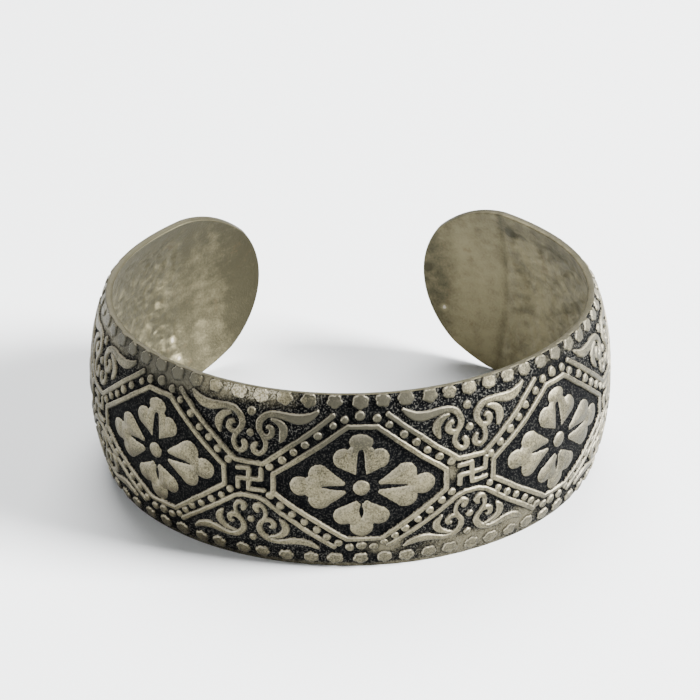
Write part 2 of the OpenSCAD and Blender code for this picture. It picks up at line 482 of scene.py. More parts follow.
@dataclass(frozen=True)
class Scroll:
    """The three tapered strokes of a scroll, from the middle of a gap.

    Each row: across, up, half width.
    """

    main: tuple[Row, ...]
    crescent: tuple[Row, ...]
    curl: tuple[Row, ...]
    leaf_rows: int = 5

    def depth(self, x: Array, y: Array, with_leaf: bool) -> Array:
        """The leaf, which runs on as ring, stem and hook, with the crescent
        and the curl inside the ring."""
        main = self.main if with_leaf else self.main[self.leaf_rows :]
        return joined(quill(x, y, main), quill(x, y, self.crescent), quill(x, y, self.curl))


UPPER_SCROLL = Scroll(
    main=(
        (7.9, 9.1, 0.2), (7.15, 8.55, 0.42), (6.2, 8.15, 0.56), (5.2, 8.1, 0.56),
        (4.2, 8.25, 0.46), (3.2, 8.4, 0.38), (2.2, 8.3, 0.38), (1.45, 7.85, 0.4),
        (1.05, 7.15, 0.39), (1.1, 6.45, 0.37), (1.5, 5.8, 0.33), (1.85, 5.15, 0.28),
        (1.95, 4.5, 0.28), (1.7, 3.85, 0.29), (1.15, 3.5, 0.3), (0.65, 3.75, 0.33),
        (0.5, 4.25, 0.36), (0.75, 4.65, 0.3),
    ),
    crescent=(
        (2.6, 7.75, 0.22), (3.45, 7.42, 0.4), (4.0, 6.75, 0.49), (4.0, 6.0, 0.44),
        (3.75, 5.3, 0.2),
    ),
    curl=(
        (1.6, 5.75, 0.3), (2.2, 5.65, 0.32), (2.62, 6.05, 0.38), (2.6, 6.6, 0.36),
        (2.25, 6.85, 0.28), (2.05, 6.75, 0.18),
    ),
)
LOWER_SCROLL = Scroll(
    main=(
        (7.8, 8.6, 0.2), (6.95, 8.05, 0.42), (5.9, 7.75, 0.52), (4.9, 7.8, 0.48),
        (3.9, 8.05, 0.38), (2.9, 8.2, 0.31), (2.0, 7.95, 0.37), (1.3, 7.35, 0.39),
        (0.98, 6.6, 0.38), (1.1, 5.9, 0.33), (1.5, 5.3, 0.28), (1.8, 4.7, 0.25),
        (1.85, 4.1, 0.24), (1.65, 3.5, 0.26), (1.15, 3.15, 0.31), (0.7, 3.5, 0.38),
        (0.85, 4.0, 0.3),
    ),
    crescent=(
        (3.55, 4.85, 0.15), (4.0, 5.5, 0.4), (4.1, 6.25, 0.46), (3.7, 6.95, 0.4),
        (2.9, 7.4, 0.28), (2.2, 7.5, 0.12),
    ),
    curl=(
        (1.7, 5.2, 0.3), (2.3, 5.1, 0.3), (2.75, 5.55, 0.33), (2.65, 6.05, 0.3),
        (2.35, 6.1, 0.18),
    ),
)
RIGHT_PETAL = Petal(
    2.2,
    (5.05, 1.55, 1.36),
    (7.1, 1.4, 1.36),
    ((1.6, 0.0, 0.28), (3.4, 0.0, 0.2), (5.2, 0.0, 0.03)),
)
LEFT_PETAL = Petal(
    2.1,
    (4.8, 1.68, 1.26),
    (6.85, 1.28, 1.28),
    ((1.6, 0.0, 0.26), (3.2, 0.0, 0.19), (4.4, 0.0, 0.03)),
)
UPPER_PETAL = Petal(
    1.95,
    (3.62, 2.02, 1.24),
    (5.62, 0.98, 1.44),
    ((1.4, 0.0, 0.5), (3.0, 0.0, 0.42), (4.1, 0.0, 0.33), (4.45, 0.0, 0.26)),
    flesh=0.5,
)
LOWER_PETAL = Petal(
    1.95,
    (3.78, 2.05, 1.24),
    (5.35, 1.4, 1.4),
    ((1.7, 0.0, 0.14), (2.3, 0.0, 0.05), (3.1, 0.0, 0.2), (4.0, 0.0, 0.02)),
)


@dataclass(frozen=True)
class Ornament:
    """The ornament of the outer face: places and drawings, in mm.

    The tables are measured from a flower's centre or from the middle of a
    gap between two flowers. Upper and lower halves differ, as made by hand.
    A reach is half a window along and across, a stray the spread of a place,
    and sizes the least and greatest share of a radius. A dot is a disc with
    lobes on a ring, both in parts of its radius, drawn out by its squash.
    """

    pitch: float = 25.8
    up: float = 0.35
    flowers: int = 2
    gaps: float = 2.5
    line_w: float = 0.6
    fret_w: float = 0.58
    button_r: float = 0.97
    flower_reach: Point = (9.2, 7.4)
    frame_reach: Point = (12.0, 10.0)
    gap_reach: Point = (12.0, 10.5)
    flower_seed: int = 100
    dot_seed: int = 5
    bead_reach: Point = (1.2, 1.2)
    bead_stray: float = 0.05
    bead_sizes: Point = (0.88, 1.0)
    dot_r: float = 0.85
    dot_reach: Point = (1.5, 1.5)
    dot_stray: float = 0.04
    dot_sizes: Point = (0.95, 1.05)
    dot_lobes: tuple[int, ...] = (5, 6)
    dot_squash: float = 0.88
    dot_ring: float = 0.49
    dot_lobe: float = 0.5
    dot_rows_v: Point = (10.7, -9.85)
    dot_step: float = 2.82
    last_dot: float = 69.4
    close_s: float = 70.0
    close_v: float = 9.0
    close_reach: Point = (1.0, 10.0)
    # How uneven the hand's lines are: amount, length, seed
    stray_s: tuple[Wave, ...] = ((0.05, 4.5, 11), (0.02, 1.1, 12))
    stray_v: tuple[Wave, ...] = ((0.05, 4.5, 13), (0.02, 1.1, 14))
    frame: tuple[Point, ...] = (
        (-10.05, 1.2), (-1.5, 7.4), (1.85, 7.4), (9.8, 1.2), (9.8, -1.2), (2.3, -7.1),
        (-1.7, -7.1), (-10.05, -1.2),
    )
    # Where the frame's ground ends, as a distance from its line, negative outside
    frame_fade: Point = (-2.6, -1.8)
    upper_rim: tuple[Point, ...] = ((0.0, 2.3), (1.65, 2.3), (9.7, 8.7))
    lower_rim: tuple[Point, ...] = ((0.0, 2.08), (0.9, 2.1), (1.9, 2.5), (3.0, 3.35), (9.7, 8.3))
    rim_close: Point = (5.4, 5.28)
    # Across, up, radius
    upper_beads: tuple[Row, ...] = (
        (0.0, 8.7, 0.62), (1.85, 8.3, 0.5), (3.25, 7.4, 0.47), (4.95, 6.3, 0.5),
        (6.3, 5.15, 0.5), (7.65, 4.1, 0.5), (9.05, 3.0, 0.5), (10.4, 2.0, 0.5),
    )
    lower_beads: tuple[Row, ...] = (
        (0.0, 8.25, 0.6), (1.45, 8.4, 0.55), (2.7, 7.75, 0.5), (3.85, 6.8, 0.5),
        (5.05, 5.85, 0.5), (6.5, 4.8, 0.5), (7.95, 3.8, 0.5), (9.3, 2.75, 0.5),
        (10.45, 1.75, 0.48),
    )
    upper_gap_beads: tuple[Point, ...] = ((5.85, 0.46), (8.4, 0.52))
    lower_gap_beads: tuple[Point, ...] = ((5.35, 0.44), (8.05, 0.46))
    left_fret: tuple[tuple[Point, ...], ...] = (
        ((-1.35, 1.35), (-0.05, 1.5), (-0.05, -1.2), (1.75, -1.1)),
        ((-1.38, -1.2), (-1.38, 0.05), (1.4, 0.3), (1.42, 1.6)),
    )
    right_fret: tuple[tuple[Point, ...], ...] = (
        ((-1.5, 1.4), (0.05, 1.55), (0.1, -0.95), (1.85, -0.75)),
        ((-1.5, -1.0), (-1.45, 0.15), (1.75, 0.4), (1.85, 1.7)),
    )
    upper_dots: tuple[float, ...] = (
        -20.7, -17.9, -14.75, -11.9, -9.0, -6.1, -3.0, 0.0,
        2.7, 5.4, 8.35, 10.85, 13.4, 16.15, 18.9, 21.5,
    )
    lower_dots: tuple[float, ...] = (
        -20.3, -17.7, -14.5, -11.95, -8.95, -5.95, -3.1, -0.1,
        2.8, 5.45, 8.25, 10.9, 13.8, 16.5, 19.3, 22.1,
    )

    def in_frames(self, s: Array, v: Array) -> Array:
        """1 inside the frames and between their beads, 0 in the gaps and
        along the edges, by the distance from the frame's upper right side."""
        across = np.abs((s + self.pitch / 2.0) % self.pitch - self.pitch / 2.0)
        (bx, by), (ax, ay) = self.frame[2:4]
        inside = (bx - ax) * (np.abs(v - self.up) - ay) - (by - ay) * (across - ax)
        return eased(inside / math.hypot(bx - ax, by - ay), *self.frame_fade)

    def carve(self, grid: Relief) -> None:
        """Add every drawing to the grid."""
        for i in range(-self.flowers, self.flowers + 1):
            self.flower(grid, i * self.pitch, self.flower_seed + i)
        for i in np.arange(-self.gaps, self.gaps + 1):
            closing = math.copysign(1.0, i) if abs(i) == self.gaps else 0.0
            self.gap(grid, i * self.pitch, closing)
        self.dot_rows(grid)
        for side in (-1, 1):
            at, x, y = self.near(grid, side * self.close_s, 0.0, self.close_reach)
            bar = stroke(x, y, ((0.0, -self.close_v), (0.0, self.close_v)), self.line_w)
            grid.add(at, bar, Cut.LINE)

    def near(
        self, grid: Relief, s: float, v: float, reach: Point
    ) -> tuple[Window, Array, Array]:
        """The window round a drawing's centre and the coordinates from that
        centre, a little uneven by hand."""
        at = grid.window(s, v, reach)
        rows, across = grid.s[at[0], None], grid.v[at]
        x = rows - s + layered(rows, across, *self.stray_s)
        return at, x, across - v + layered(rows, across, *self.stray_v)

    def flower(self, grid: Relief, s: float, seed: int) -> None:
        """A button, four petals, the frame line and the beads round it."""
        at, x, y = self.near(grid, s, self.up, self.flower_reach)
        grid.add(at, disc(x, y, (0.0, 0.0), self.button_r), Cut.BUTTON)
        grid.add(at, RIGHT_PETAL.depth(x, y), Cut.PETAL)
        grid.add(at, LEFT_PETAL.depth(-x, y), Cut.PETAL)
        grid.add(at, UPPER_PETAL.depth(y, x), Cut.PETAL)
        grid.add(at, LOWER_PETAL.depth(-y, x), Cut.PETAL)
        at, x, y = self.near(grid, s, self.up, self.frame_reach)
        grid.add(at, stroke(x, y, self.frame, self.line_w, closed=True), Cut.LINE)
        rng = np.random.default_rng(seed)
        for up, beads in ((1, self.upper_beads), (-1, self.lower_beads)):
            for across, out, radius in beads:
                for aside in (-across, across) if across else (0.0,):
                    off = rng.normal(0.0, self.bead_stray, 2)
                    size = radius * rng.uniform(*self.bead_sizes)
                    at, x, y = self.near(grid, s + aside, self.up + up * out, self.bead_reach)
                    grid.add(at, disc(x, y, off, size), Cut.BEAD)

    def gap(self, grid: Relief, s: float, closing: float) -> None:
        """The fret cross, scrolls, beads and lines between two flowers."""
        at, x, y = self.near(grid, s, self.up, self.gap_reach)
        fret = self.left_fret if s < 0.0 else self.right_fret
        grid.add(at, joined(*[stroke(x, y, path, self.fret_w) for path in fret]), Cut.LINE)
        for up, scroll, beads, line in (
            (1, UPPER_SCROLL, self.upper_gap_beads, self.upper_rim),
            (-1, LOWER_SCROLL, self.lower_gap_beads, self.lower_rim),
        ):
            for out, radius in beads:
                grid.add(at, disc(x, up * y, (0.0, out), radius), Cut.BEAD)
            for side in (-1, 1):
                path = (*line[:-1], self.rim_close if side == closing else line[-1])
                grid.add(at, stroke(side * x, up * y, path, self.line_w), Cut.LINE)
                grid.add(at, scroll.depth(side * x, up * y, side != closing), Cut.SCROLL)

    def dot_rows(self, grid: Relief) -> None:
        """The rows of lobed dots along both edges. Past the measured ones
        they go on in even steps."""
        rng = np.random.default_rng(self.dot_seed)
        for middle, row in zip(self.dot_rows_v, (self.upper_dots, self.lower_dots)):
            before = np.arange(row[0] - self.dot_step, -self.last_dot, -self.dot_step)
            after = np.arange(row[-1] + self.dot_step, self.last_dot, self.dot_step)
            for s in [*before, *row, *after]:
                v = middle + rng.normal(0.0, self.dot_stray)
                size = self.dot_r * rng.uniform(*self.dot_sizes)
                lobes = self.dot_lobes[int(rng.integers(0, len(self.dot_lobes)))]
                turn = rng.uniform(0.0, 2.0 * math.pi)
                at, x, y = self.near(grid, s, v, self.dot_reach)
                x, y = x * self.dot_squash / size, y / size
                shape = disc(x, y, (0.0, 0.0), self.dot_ring)
                for angle in turn + np.arange(lobes) * 2.0 * math.pi / lobes:
                    place = self.dot_ring * math.cos(angle), self.dot_ring * math.sin(angle)
                    shape = joined(shape, disc(x, y, place, self.dot_lobe))
                grid.add(at, shape * size, Cut.DOT)


@dataclass(frozen=True)
class WearAndGlints:
    """Where polish and handling took the dark patina out of the ground, where
    the tops stay dull, and where painted highlights (glints) go on them.

    Spots and clouds have the columns of spots and layered, and plain is the
    patina of the plain ends.
    """

    worn_spots: tuple[Spot, ...] = (
        (13.0, -9.6, 8.0, 2.2, 1.0),
        (20.0, -8.8, 4.0, 2.6, 1.0),
        (3.0, -8.2, 3.6, 1.4, 0.9),
        (10.6, 0.9, 0.9, 1.5, 0.9),
        (-15.0, 11.2, 9.0, 1.9, 1.15),
        (-25.0, 10.9, 9.0, 2.2, 1.3),
        (-39.0, 10.6, 12.0, 1.9, 1.2),
        (18.0, 11.0, 5.0, 0.7, 0.5),
        (30.0, 10.6, 9.0, 1.1, 0.5),
        (-2.0, 11.2, 7.0, 0.6, 0.4),
        (0.0, -11.2, 40.0, 0.5, 0.8),
    )

    dull_and_glint_spots: tuple[Spot, ...] = (
        (-5.0, 8.5, 11.0, 4.5, 1.1),
        (5.0, 9.5, 9.0, 3.6, 0.9),
        (-34.0, 1.0, 16.0, 9.0, 0.15),
        (34.0, 0.0, 14.0, 14.0, 0.7),
        (25.0, 10.8, 7.0, 2.0, 0.6),
        (-28.0, 11.0, 9.5, 2.6, 1.7),
        (-48.0, 0.0, 10.0, 12.0, 0.7),
        (2.0, -9.5, 22.0, 3.0, 0.45),
        (48.0, 0.0, 9.0, 12.0, 0.6),
        # Negative strength: painted highlights (glints) on the tops
        (-13.2, 11.0, 5.0, 1.3, -2.3),
    )

    worn_clouds: tuple[Wave, ...] = ((0.14, 4.0, 31), (0.1, 0.9, 32))
    worn_edge: Point = (0.05, 0.4)
    dull_clouds: Wave = (0.15, 7.0, 33)
    dull_range: Point = (-1.0, 1.6)
    plain: float = 0.15
    plain_clouds: tuple[Wave, ...] = ((0.12, 9.0, 51), (0.08, 2.0, 52))

    def patina(self, s: Array, v: Array) -> Array:
        """1 where the ground is black, down to 0 where it is worn bare: one
        less the strongest spot, with clouds where there is wear."""
        worn = np.maximum.reduce(spots(s, v, self.worn_spots))
        worn = worn + layered(s, v, *self.worn_clouds) * eased(worn, *self.worn_edge)
        return np.clip(1.0 - worn, 0.0, 1.0)

    def plain_patina(self, s: Array, v: Array) -> Array:
        """Thin clouds of tarnish on the plain outer face of the ends."""
        return np.clip(self.plain + layered(s, v, *self.plain_clouds), 0.0, 1.0)

    def dull_and_glint(self, s: Array, v: Array) -> Array:
        """0 where the tops are plain, above it where they stay grey and below it
        where painted highlights (glints) go: a sum of soft spots and clouds."""
        clouds = layered(s, v, self.dull_clouds)
        return np.clip(sum(spots(s, v, self.dull_and_glint_spots), clouds), *self.dull_range)


@dataclass(frozen=True)
class TarnishAndLight:
    """Tarnish, painted light, shade and highlights, and dimples that the inner
    face carries, over s and v in mm.
    """

    base: float = 0.4
    # Painted light and shade: lighter to the right, darker to the left, against the lamp from the
    # right
    lean: float = 0.25
    lean_s: float = 50.0
    # Bands: distance, reach, strength
    light_band: Row = (73.5, 2.6, 0.22)
    dark_line: Row = (70.3, 0.5, -0.2)
    # Steps: from, to, strength
    tip: Row = (76.0, 81.0, -0.3)
    upper_rim: Row = (5.0, 11.0, -0.25)
    lower_rim: Row = (8.5, 11.0, -0.1)
    # Bands and clouds: shares of s and v, amount, length, seed, count of waves
    layers: tuple[tuple[float, float, float, float, int, int], ...] = (
        (1.0, 0.05, 0.08, 7.0, 41, 9),
        (1.0, 0.15, 0.08, 1.9, 42, 9),
        (0.6, 1.0, 0.1, 5.0, 43, 9),
        (0.6, 1.0, 0.1, 1.3, 44, 24),
    )
    # Spots: positive ones are painted highlights (glints), negative ones dark pits
    marks: tuple[Spot, ...] = (
        (-68.4, -5.5, 0.45, 0.45, 2.2),
        (-66.2, 0.3, 0.4, 0.4, 1.6),
        (-68.8, -8.1, 0.45, 0.45, 2.0),
        (79.2, -4.9, 0.35, 0.35, 1.8),
        (81.6, 0.3, 0.45, 0.45, -1.2),
        (68.8, 8.9, 0.8, 0.8, -0.8),
    )
    # Dimples of each arm: side, rise from and to, fall from and to, strength
    dimples: tuple[tuple[float, float, float, float, float, float], ...] = (
        (-1.0, 42.0, 52.0, 66.0, 71.0, 1.0),
        (1.0, 44.0, 56.0, 68.0, 71.0, 0.45),
    )
    fewest_dimples: float = 0.08
    dimples_v: float = 10.6
    dimples_fade: float = 1.8

    def tone(self, s: Array, v: Array) -> Array:
        """Lightness: a light band before each end, a darker tip and rim, painted
        light on the right half and painted shade on the left, against the
        lamp from the right, fine bands across, clouds, and marks that are
        painted highlights and dark pits."""
        ahead = np.abs(s)
        tone = self.base + self.lean * np.clip(s / self.lean_s, -1.0, 1.0)
        for x, (at, reach, strength) in ((ahead, self.light_band), (s, self.dark_line)):
            tone = tone + strength * bell(x, at, reach)
        for x, (low, high, strength) in ((ahead, self.tip), (v, self.upper_rim), (-v, self.lower_rim)):
            tone = tone + strength * eased(x, low, high)
        for along, across, amount, length, seed, count in self.layers:
            tone = tone + amount * waves(along * s, across * v, length, seed, count)
        return sum(spots(s, v, self.marks), tone)

    def rough(self, s: Array, v: Array) -> Array:
        """How dimpled the face is: up to 1 behind the ornament, most on the
        left arm, and little at the rims and the plain tips."""
        arms = 0.0
        for side, rise, full, fall, end, strength in self.dimples:
            arms = arms + strength * eased(side * s, rise, full) * eased(-side * s, -end, -fall)
        inside = eased(self.dimples_v - np.abs(v), 0.0, self.dimples_fade)
        return self.fewest_dimples + arms * inside


# Materials


class Value:
    """A shader number: a node's output with the operators of arithmetic."""

    def __init__(self, tree: "Tree", socket: bpy.types.NodeSocket) -> None:
        """Wrap a socket of a tree."""
        self.tree = tree
        self.socket = socket

    def maths(self, operation: str, first: object, second: object) -> "Value":
        """One Math node."""
        node = self.tree.node(
            "ShaderNodeMath", {"operation": operation}, {0: first, 1: second}
        )
        return Value(self.tree, node.outputs[0])

    def __add__(self, other: object) -> "Value":
        """Sum."""
        return self.maths("ADD", self, other)

    def __sub__(self, other: object) -> "Value":
        """Difference."""
        return self.maths("SUBTRACT", self, other)

    def __rsub__(self, other: object) -> "Value":
        """Difference, number first."""
        return self.maths("SUBTRACT", other, self)

    def __mul__(self, other: object) -> "Value":
        """Product."""
        return self.maths("MULTIPLY", self, other)

    __radd__ = __add__
    __rmul__ = __mul__

    def step(self, low: float, high: float) -> "Value":
        """A smooth step from 0 at low to 1 at high."""
        node = self.tree.node(
            "ShaderNodeMapRange",
            {"interpolation_type": "SMOOTHSTEP"},
            {"Value": self, "From Min": low, "From Max": high},
        )
        return Value(self.tree, node.outputs["Result"])


class Tree:
    """The node tree of one material. Its noise has one roughness."""

    roughness: float = 0.55

    def __init__(self, name: str) -> None:
        """Start an empty material."""
        self.material = bpy.data.materials.new(name)
        self.material.use_nodes = True
        self.nodes = self.material.node_tree.nodes
        self.links = self.material.node_tree.links
        self.nodes.clear()

    def node(
        self, kind: str, settings: dict[str, object], inputs: dict[object, object]
    ) -> bpy.types.Node:
        """Add a node: its settings first, then its sockets.

        Args:
            kind: the node's type.
            settings: properties of the node by name.
            inputs: a value, a Value or a socket for each input's name or index.

        Returns:
            The new node.
        """
        node = self.nodes.new(kind)
        for name, value in settings.items():
            setattr(node, name, value)
        for key, value in inputs.items():
            if isinstance(value, Value):
                self.links.new(value.socket, node.inputs[key])
            elif isinstance(value, bpy.types.NodeSocket):
                self.links.new(value, node.inputs[key])
            else:
                node.inputs[key].default_value = value
        return node

    def attribute(self, name: str) -> Value:
        """A number that the mesh carries at its points."""
        node = self.node("ShaderNodeAttribute", {"attribute_name": name}, {})
        return Value(self, node.outputs["Fac"])

    def grain(self, size: float, detail: float, flat: float) -> Value:
        """Noise over the Object coordinates.

        Args:
            size: how large its grains are, in mm.
            detail: how many finer layers it has.
            flat: how many times wider than tall the grains are.

        Returns:
            The noise, about 0.5.
        """
        place = self.node("ShaderNodeTexCoord", {}, {}).outputs["Object"]
        pressed = self.node(
            "ShaderNodeVectorMath", {"operation": "MULTIPLY"}, {0: place, 1: (1.0, 1.0, flat)}
        )
        node = self.node(
            "ShaderNodeTexNoise",
            {},
            {
                "Vector": pressed.outputs[0],
                "Scale": 1.0 / (size * MM),
                "Detail": detail,
                "Roughness": self.roughness,
            },
        )
        return Value(self, node.outputs[0])

    def tint(
        self,
        amount: Value,
        low: Colour | bpy.types.NodeSocket,
        high: Colour | bpy.types.NodeSocket,
    ) -> bpy.types.NodeSocket:
        """A colour between two, by amount."""
        node = self.node("ShaderNodeMix", {"data_type": "RGBA"}, {0: amount, 6: low, 7: high})
        return node.outputs[2]

    def finish(
        self, inputs: dict[object, object], bumps: Value, depth: float
    ) -> bpy.types.Material:
        """Close the tree with a shader whose normal follows the bumps.

        Args:
            inputs: sockets of the shader.
            bumps: height of the surface detail, 0 to 1.
            depth: size of that detail, in mm.

        Returns:
            The material.
        """
        bump = self.node(
            "ShaderNodeBump", {}, {"Strength": 1.0, "Distance": depth * MM, "Height": bumps}
        )
        shader = self.node(
            "ShaderNodeBsdfPrincipled", {}, {**inputs, "Normal": bump.outputs[0]}
        )
        self.node("ShaderNodeOutputMaterial", {}, {"Surface": shader.outputs[0]})
        return self.material


@dataclass(frozen=True)
class EngravedFinish:
    """The outer face: worn tops over a granular ground with dark patina.

    A pair of numbers holds where a smooth step starts and ends, in mm for a
    depth and without a unit for the rest.
    """

    top_light: Colour = (0.17, 0.15, 0.094, 1.0)
    top_dark: Colour = (0.032, 0.03, 0.021, 1.0)
    # Colour of painted highlights and of rubbed edges on the tops
    top_highlight_and_wear: Colour = (0.38, 0.345, 0.255, 1.0)
    ground_dark: Colour = (0.001, 0.0012, 0.0015, 1.0)
    ground_bare: Colour = (0.125, 0.112, 0.074, 1.0)
    speck: Colour = (0.07, 0.068, 0.06, 1.0)
    grey: Colour = (0.062, 0.058, 0.043, 1.0)
    # Noise: size of its grains in mm, detail, flatness
    fine: Row = (0.13, 2.0, 1.0)
    coarse: Row = (0.8, 2.0, 1.0)
    speckled: Row = (0.2, 1.0, 1.0)
    ragged: Row = (0.3, 2.0, 1.0)
    jagged: float = 0.14
    pit: float = 0.07
    top_from: Point = (-0.01, 0.06)
    crease_from: Point = (-0.24, -0.03)
    # Bright ring along the tops' edges: partly edge wear, partly painted highlight
    edge_from: Point = (0.02, 0.08)
    edge_until: Point = (0.1, 0.2)
    specks_from: Point = (0.52, 0.66)
    bare_from: Point = (0.22, 1.25)
    grey_from: Point = (0.3, 1.3)
    # Where painted highlights (glints) come in as the carried value falls below 0
    glint_from: Point = (0.1, 0.8)
    glint_specks: Point = (0.42, 0.56)
    mottle_from: Point = (0.45, 1.1)
    # Where painted shade and painted highlights on the flanks start and end
    painted_shade_from: Point = (0.02, 0.45)
    painted_highlight_from: Point = (0.04, 0.5)

    def material(self) -> bpy.types.Material:
        """The depth into the ornament, roughened by noise, parts the tops
        from the ground.

        The ground is black with specks. Where it is worn it is bare metal,
        grey where the mesh says dull and with painted highlights (glints) where
        it says glint, with a dark crease left round the tops. The tops are
        mottled, with painted highlights on the flanks of a positive slope, a
        bright ring along their edges that is partly edge wear and partly
        painted highlight, and painted shade on the other flanks.
        """
        tree = Tree("engraved_metal")
        fine, coarse = tree.grain(*self.fine), tree.grain(*self.coarse)
        speckle, ragged = tree.grain(*self.speckled), tree.grain(*self.ragged)
        depth = tree.attribute("depth") + (ragged - 0.5) * self.jagged
        top = depth.step(*self.top_from)
        dull_and_glint = tree.attribute("dull_and_glint")
        grey = dull_and_glint.step(*self.grey_from)
        # Painted highlights (glints) where the carried value is below 0
        glint = (0.0 - dull_and_glint).step(*self.glint_from) * speckle.step(*self.glint_specks)

        patina = tree.attribute("patina")
        specks = speckle.step(*self.specks_from) * tree.attribute("specks")
        crease = 0.62 + patina * 0.2 + (coarse - 0.5) * 1.2
        crease = depth.step(*self.crease_from) * crease
        bare = 1.0 - patina + (fine - 0.5) * 0.7 + (speckle - 0.5) * 0.6
        worn = bare.step(*self.bare_from) * (1.0 - crease)
        metal = tree.tint(grey, self.ground_bare, self.grey)
        # Painted highlights (glints) on the worn ground too
        metal = tree.tint(glint * 0.8, metal, self.top_highlight_and_wear)
        ground = tree.tint(specks, self.ground_dark, self.speck)
        ground = tree.tint(worn, ground, metal)

        mottle = coarse * 0.4 + speckle * 0.7 + fine * 0.6 - dull_and_glint * 0.3
        # Painted highlights on flanks that face up and left, painted shade on the others
        slope = tree.attribute("slope") + (speckle - 0.5) * 0.2
        # Bright ring along the tops' edges, partly edge wear and partly painted highlight
        edge = depth.step(*self.edge_from) * (1.0 - depth.step(*self.edge_until))
        edge = edge * (1.0 - grey) * 0.08 + slope.step(*self.painted_highlight_from) * 0.5
        tops = tree.tint(mottle.step(*self.mottle_from), self.top_dark, self.top_light)
        tops = tree.tint(grey * 0.8, tops, self.grey)
        # Painted shade on the flanks that face down and right
        tops = tree.tint((0.0 - slope).step(*self.painted_shade_from) * 0.75, tops, self.top_dark)
        tops = tree.tint(edge + glint * 0.9, tops, self.top_highlight_and_wear)

        shine = top + (1.0 - top) * (worn + (1.0 - worn) * specks * 0.5)
        return tree.finish(
            {
                "Base Color": tree.tint(top, ground, tops),
                "Metallic": shine * 0.9,
                "Roughness": 0.68 - shine * 0.2 + (fine - 0.5) * 0.25 + grey * 0.06,
                "Specular IOR Level": 0.02,
            },
            fine * 0.8 + speckle * (1.0 - top),
            self.pit,
        )


@dataclass(frozen=True)
class InnerFinish:
    """The inner face and the edges: dull olive-grey tarnish in soft bands, with
    painted light, shade and highlights.

    A pair of numbers holds where a smooth step starts and ends.
    """

    light: Colour = (0.198, 0.175, 0.102, 1.0)
    dark: Colour = (0.05, 0.045, 0.025, 1.0)
    stain: Colour = (0.09, 0.066, 0.033, 1.0)
    edge: Colour = (0.07, 0.063, 0.043, 1.0)
    # Colour of the painted highlights
    glint: Colour = (0.5, 0.45, 0.37, 1.0)
    # Noise: size of its grains in mm, detail, flatness
    fine: Row = (0.3, 2.0, 1.0)
    cloudy: Row = (2.2, 2.0, 1.3)
    dimpled: Row = (1.2, 0.5, 1.4)
    stained: Row = (1.4, 3.0, 1.0)
    pit: float = 0.12
    stain_from: Point = (0.62, 0.74)
    # Tone at which painted highlights come in
    glint_from: Point = (1.2, 2.0)
    edge_from: Point = (0.75, 1.25)

    def material(self) -> bpy.types.Material:
        """Bands and clouds of tarnish, painted light and painted shade that the
        mesh carries, with stains, painted highlights where the tone runs high,
        dimples where it is rough, with painted light and shade that follow
        their bumps, and a mottled, lighter outer edge."""
        tree = Tree("inner_metal")
        fine, cloud = tree.grain(*self.fine), tree.grain(*self.cloudy)
        dimples = tree.grain(*self.dimpled)
        rough, rim = tree.attribute("rough"), tree.attribute("rim")
        tone = tree.attribute("tone") + (cloud - 0.5) * 0.4 + (fine - 0.5) * 0.5
        # Painted light and shade that follow the dimples' bumps
        tone = tone + (dimples - 0.5) * rough * 0.8
        stains = tree.grain(*self.stained).step(*self.stain_from) * 0.35
        base = tree.tint(tone.step(0.0, 1.0), self.dark, self.light)
        base = tree.tint(stains, base, self.stain)
        # Painted highlights where the tone runs high
        base = tree.tint(tone.step(*self.glint_from), base, self.glint)
        edge = tree.tint((fine + cloud).step(*self.edge_from), self.dark, self.edge)
        return tree.finish(
            {
                "Base Color": tree.tint(rim, base, edge),
                "Metallic": 0.8,
                "Roughness": 0.5 + (cloud - 0.5) * 0.2 + rim * 0.16,
            },
            fine * 0.3 + cloud * 0.3 + dimples * rough * 2.8,
            self.pit,
        )


# Meshes


@dataclass
class Sheet:
    """A grid of points with what each point carries, ready for a mesh."""

    points: Array
    normals: Array
    carried: dict[str, Array]
    finish: Array
    wraps: bool

    def quads(self) -> tuple[Array, Array]:
        """Corners of the quads, and the column each of them starts in."""
        rows, columns = self.points.shape[:2]
        across = columns if self.wraps else columns - 1
        i, j = np.meshgrid(np.arange(rows - 1), np.arange(across), indexing="ij")
        k = (j + 1) % columns
        corners = [i * columns + j, (i + 1) * columns + j, (i + 1) * columns + k, i * columns + k]
        return np.stack(corners, axis=-1).reshape(-1, 4), j.reshape(-1)

    def part(self, rows: slice) -> "Sheet":
        """Some of the sheet's rows."""
        carried = {key: value[rows] for key, value in self.carried.items()}
        return Sheet(self.points[rows], self.normals[rows], carried, self.finish, self.wraps)


def placed(name: str, data: bpy.types.ID) -> bpy.types.Object:
    """A new object with its data, linked to the scene."""
    thing = bpy.data.objects.new(name, data)
    bpy.context.scene.collection.objects.link(thing)
    return thing


